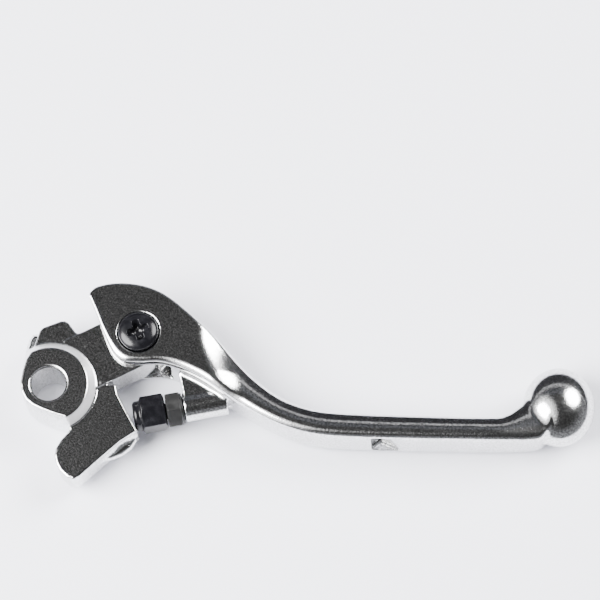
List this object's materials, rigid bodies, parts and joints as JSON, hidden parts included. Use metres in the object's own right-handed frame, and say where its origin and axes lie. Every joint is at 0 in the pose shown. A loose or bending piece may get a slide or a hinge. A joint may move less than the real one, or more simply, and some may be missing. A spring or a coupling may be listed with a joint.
{
  "type": "brake lever",
  "caption": "Hand lever assembly for a motorcycle front brake: a forged knuckle, a folding blade on a sprung pivot and a threaded reach adjuster.",
  "frame": {"origin": "middle of the assembly's base, as it lies flat", "axes": "+X from the knuckle to the blade's ball end, +Y away from the handlebar grip, +Z along the pivots, up through the pivot screw's head"},
  "size_m": [0.1724, 0.0608, 0.0207],
  "materials": {
    "aluminium": "fine bead-blasted and lightly burnished",
    "black_steel": "glossy black oxide",
    "dark_steel": "dull dark grey",
    "bronze": "machined bearing bronze",
    "spring_steel": "bare spring steel"
  },
  "bodies": {
    "knuckle": {"knuckle": "aluminium"},
    "pivot_collar": {"pivot_bush": "bronze", "upper_washer": "spring_steel", "lower_washer": "spring_steel", "return_spring": "spring_steel"},
    "blade": {"lever_blade": "aluminium", "pivot_screw": "black_steel"},
    "adjuster_bolt": {"adjuster_bolt": "black_steel"},
    "locknut": {"adjuster_locknut": "dark_steel"}
  },
  "joints": [
    {"name": "blade_reach", "type": "hinge", "parent": "knuckle", "child": "pivot_collar", "pos_m": [-0.0509, 0.01456, 0.00925], "axis": [0, 0, 1], "range_deg": [0, 5]},
    {"name": "blade_fold", "type": "hinge", "parent": "pivot_collar", "child": "blade", "pos_m": [-0.0509, 0.01456, 0.00925], "axis": [0, 0, 1], "range_deg": [0, 45], "stiffness_Nm_per_rad": 0.08, "springref_deg": -68.75, "deforming": ["return_spring"]},
    {"name": "adjuster_travel", "type": "slide", "parent": "blade", "child": "adjuster_bolt", "axis": [-0.9816, -0.1908, 0], "range_m": [0, 0.0021]},
    {"name": "locknut_turn", "type": "hinge", "parent": "blade", "child": "locknut", "pos_m": [-0.0372, -0.00649, 0.00925], "axis": [-0.9816, -0.1908, 0], "range_deg": [0, 90]}
  ],
  "couplings": [
    {"joint": "adjuster_travel", "follows": "blade_reach", "m_per_rad": 0.0233}
  ]
}
